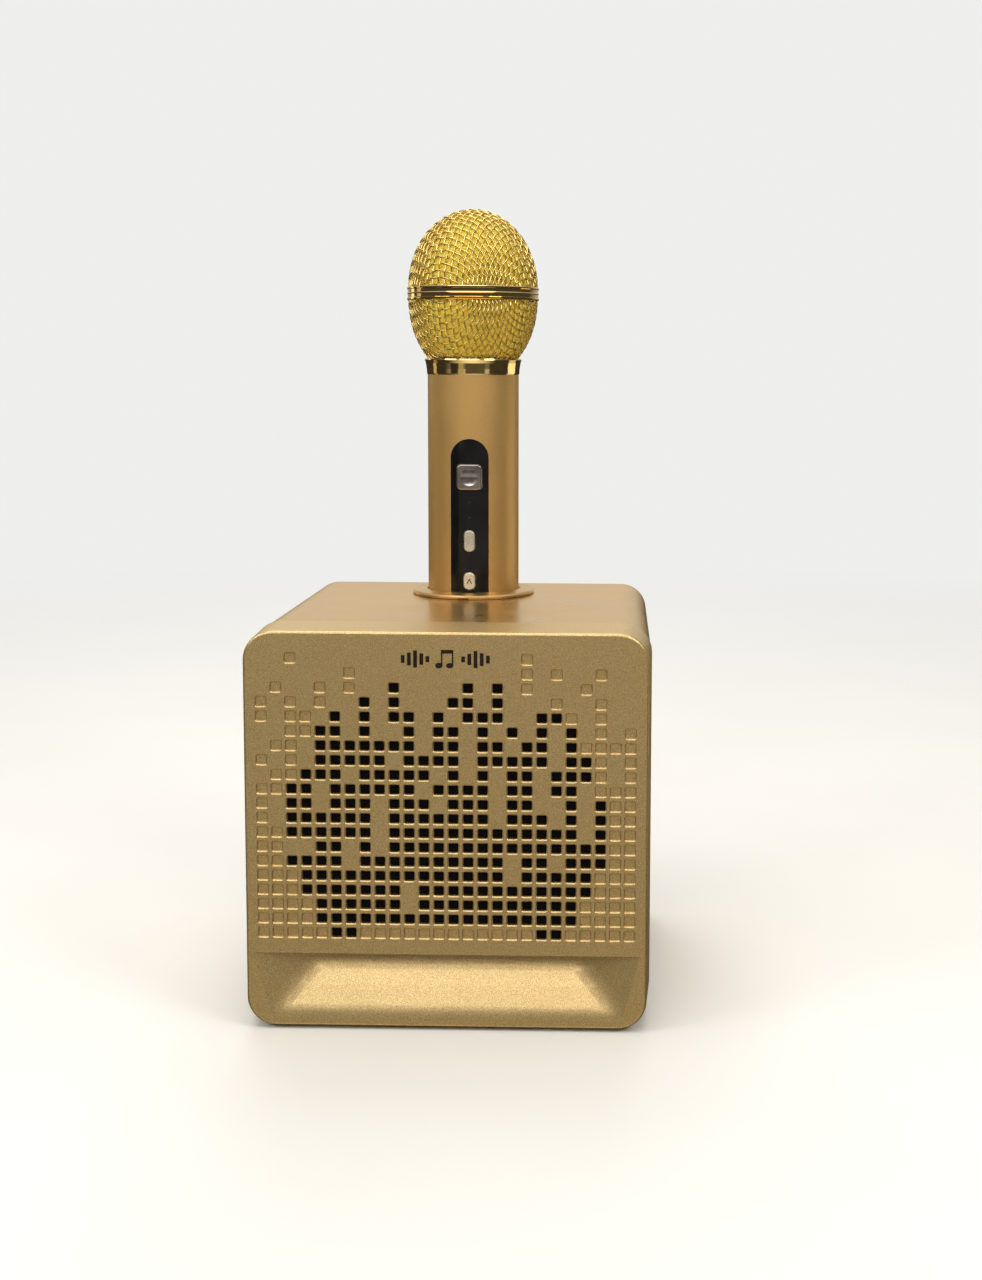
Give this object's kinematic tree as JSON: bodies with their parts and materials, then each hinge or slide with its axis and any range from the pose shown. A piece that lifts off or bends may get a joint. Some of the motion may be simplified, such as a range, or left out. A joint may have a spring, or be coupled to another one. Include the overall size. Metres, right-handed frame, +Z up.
{
  "type": "karaoke microphone with speaker dock",
  "caption": "Cube speaker box with a grid of square holes in front and a cordless microphone standing upright in a ring dock on top.",
  "frame": {"origin": "centre of the resting plane under the four feet", "axes": "+Z up along the microphone, -Y out of the speaker's front face, +X to the right seen from the front"},
  "size_m": [0.167, 0.1642, 0.3437],
  "materials": {
    "gold_grain": "fine sand-grain metallic paint",
    "gold_satin": "satin metallic paint",
    "gold_handle": "satin anodised",
    "gold_polish": "polished",
    "gold_wire": "woven wire, bright",
    "gold_knob": "plated plastic",
    "black_ink": "printed",
    "black_cloth": "woven",
    "black_plastic": "fine texture",
    "black_gloss": "gloss",
    "black_steel": "semi-gloss",
    "magnet_steel": "zinc plated",
    "screw_steel": "zinc plated",
    "screw_black": "black oxide",
    "socket_steel": "plated",
    "contact_gold": "gold plated",
    "circuit_green": "solder mask",
    "battery_wrap": "shrink wrap",
    "board_wood": "fibreboard",
    "foot_rubber": "matt",
    "cone_paper": "pressed paper",
    "coil_copper": "wound wire",
    "clear_lens": "clear",
    "yellow_foam": "open-cell foam",
    "button_chrome": "polished",
    "button_silver": "pearl silver"
  },
  "bodies": {
    "speaker": {"front_cap": "gold_grain", "front_mark": "black_ink", "main_shell": "gold_satin", "baffle_board": "board_wood", "grille_cloth": "black_cloth", "driver_basket": "black_steel", "driver_magnet": "magnet_steel", "driver_screws": "screw_steel", "dock_tube": "gold_satin", "dock_flange": "gold_satin", "dock_contacts": "contact_gold", "rear_cover": "black_plastic", "panel_rim": "black_plastic", "panel_plate": "black_plastic", "rear_screws": "screw_black", "data_sockets": "socket_steel", "socket_audio": "black_plastic", "rear_board": "circuit_green", "knob_pots": "socket_steel", "rocker_frame": "black_plastic", "status_light": "clear_lens", "passive_ring": "black_steel", "main_board": "circuit_green", "battery_pack": "battery_wrap", "foot_front_left": "foot_rubber", "foot_rear_left": "foot_rubber", "foot_front_right": "foot_rubber", "foot_rear_right": "foot_rubber"},
    "cone": {"driver_cone": "cone_paper", "dust_cap": "cone_paper", "voice_coil": "coil_copper"},
    "passive": {"passive_diaphragm": "foot_rubber", "passive_weight": "socket_steel"},
    "knob_mic": {"knob_mic": "gold_knob"},
    "knob_echo": {"knob_echo": "gold_knob"},
    "knob_music": {"knob_music": "gold_knob"},
    "button_mode": {"button_mode": "gold_knob"},
    "button_back": {"button_back": "gold_knob"},
    "button_play": {"button_play": "gold_knob"},
    "button_next": {"button_next": "gold_knob"},
    "rocker": {"power_rocker": "black_plastic"},
    "microphone": {"mic_handle": "gold_handle", "mic_dome": "gold_wire", "mic_basket": "gold_wire", "mic_band": "gold_polish", "mic_collar": "gold_polish", "mic_foam": "yellow_foam", "mic_capsule_mount": "foot_rubber", "mic_capsule": "socket_steel", "mic_strip": "black_gloss", "mic_indicators": "black_gloss", "mic_board": "circuit_green", "mic_battery": "battery_wrap", "mic_tail": "black_plastic", "mic_contacts": "contact_gold"},
    "mic_button_power": {"mic_button_power": "button_chrome"},
    "mic_button_oval": {"mic_button_oval": "button_chrome"},
    "mic_button_up": {"mic_button_up": "button_silver"},
    "mic_button_down": {"mic_button_down": "button_silver"}
  },
  "joints": [
    {"name": "mic_lift", "type": "slide", "parent": "speaker", "child": "microphone", "axis": [0, 0, 1], "range_m": [0, 0.075]},
    {"name": "cone_pump", "type": "slide", "parent": "speaker", "child": "cone", "axis": [0, -1, 0], "range_m": [-0.0025, 0.0025], "stiffness_N_per_m": 2500},
    {"name": "passive_pump", "type": "slide", "parent": "speaker", "child": "passive", "axis": [0, 1, 0], "range_m": [-0.002, 0.002], "stiffness_N_per_m": 1500},
    {"name": "rocker_tip", "type": "hinge", "parent": "speaker", "child": "rocker", "pos_m": [0.0575, 0.0715, 0.085], "axis": [1, 0, 0], "range_deg": [-8, 8]},
    {"name": "knob_mic_turn", "type": "hinge", "parent": "speaker", "child": "knob_mic", "pos_m": [-0.05, 0.0742, 0.085], "axis": [0, 1, 0], "range_deg": [-150, 150]},
    {"name": "knob_echo_turn", "type": "hinge", "parent": "speaker", "child": "knob_echo", "pos_m": [-0.029, 0.0742, 0.085], "axis": [0, 1, 0], "range_deg": [-150, 150]},
    {"name": "knob_music_turn", "type": "hinge", "parent": "speaker", "child": "knob_music", "pos_m": [-0.008, 0.0742, 0.085], "axis": [0, 1, 0], "range_deg": [-150, 150]},
    {"name": "button_mode_press", "type": "slide", "parent": "speaker", "child": "button_mode", "axis": [0, -1, 0], "range_m": [0, 0.0008], "stiffness_N_per_m": 1800, "springref_m": -0.0003},
    {"name": "button_back_press", "type": "slide", "parent": "speaker", "child": "button_back", "axis": [0, -1, 0], "range_m": [0, 0.0008], "stiffness_N_per_m": 1800, "springref_m": -0.0003},
    {"name": "button_play_press", "type": "slide", "parent": "speaker", "child": "button_play", "axis": [0, -1, 0], "range_m": [0, 0.0008], "stiffness_N_per_m": 1800, "springref_m": -0.0003},
    {"name": "button_next_press", "type": "slide", "parent": "speaker", "child": "button_next", "axis": [0, -1, 0], "range_m": [0, 0.0008], "stiffness_N_per_m": 1800, "springref_m": -0.0003},
    {"name": "mic_button_power_press", "type": "slide", "parent": "microphone", "child": "mic_button_power", "axis": [0, 1, 0], "range_m": [0, 0.0005], "stiffness_N_per_m": 1800, "springref_m": -0.0003},
    {"name": "mic_button_oval_press", "type": "slide", "parent": "microphone", "child": "mic_button_oval", "axis": [0, 1, 0], "range_m": [0, 0.0005], "stiffness_N_per_m": 1800, "springref_m": -0.0003},
    {"name": "mic_button_up_press", "type": "slide", "parent": "microphone", "child": "mic_button_up", "axis": [0, 1, 0], "range_m": [0, 0.0005], "stiffness_N_per_m": 1800, "springref_m": -0.0003},
    {"name": "mic_button_down_press", "type": "slide", "parent": "microphone", "child": "mic_button_down", "axis": [0, 1, 0], "range_m": [0, 0.0005], "stiffness_N_per_m": 1800, "springref_m": -0.0003}
  ]
}
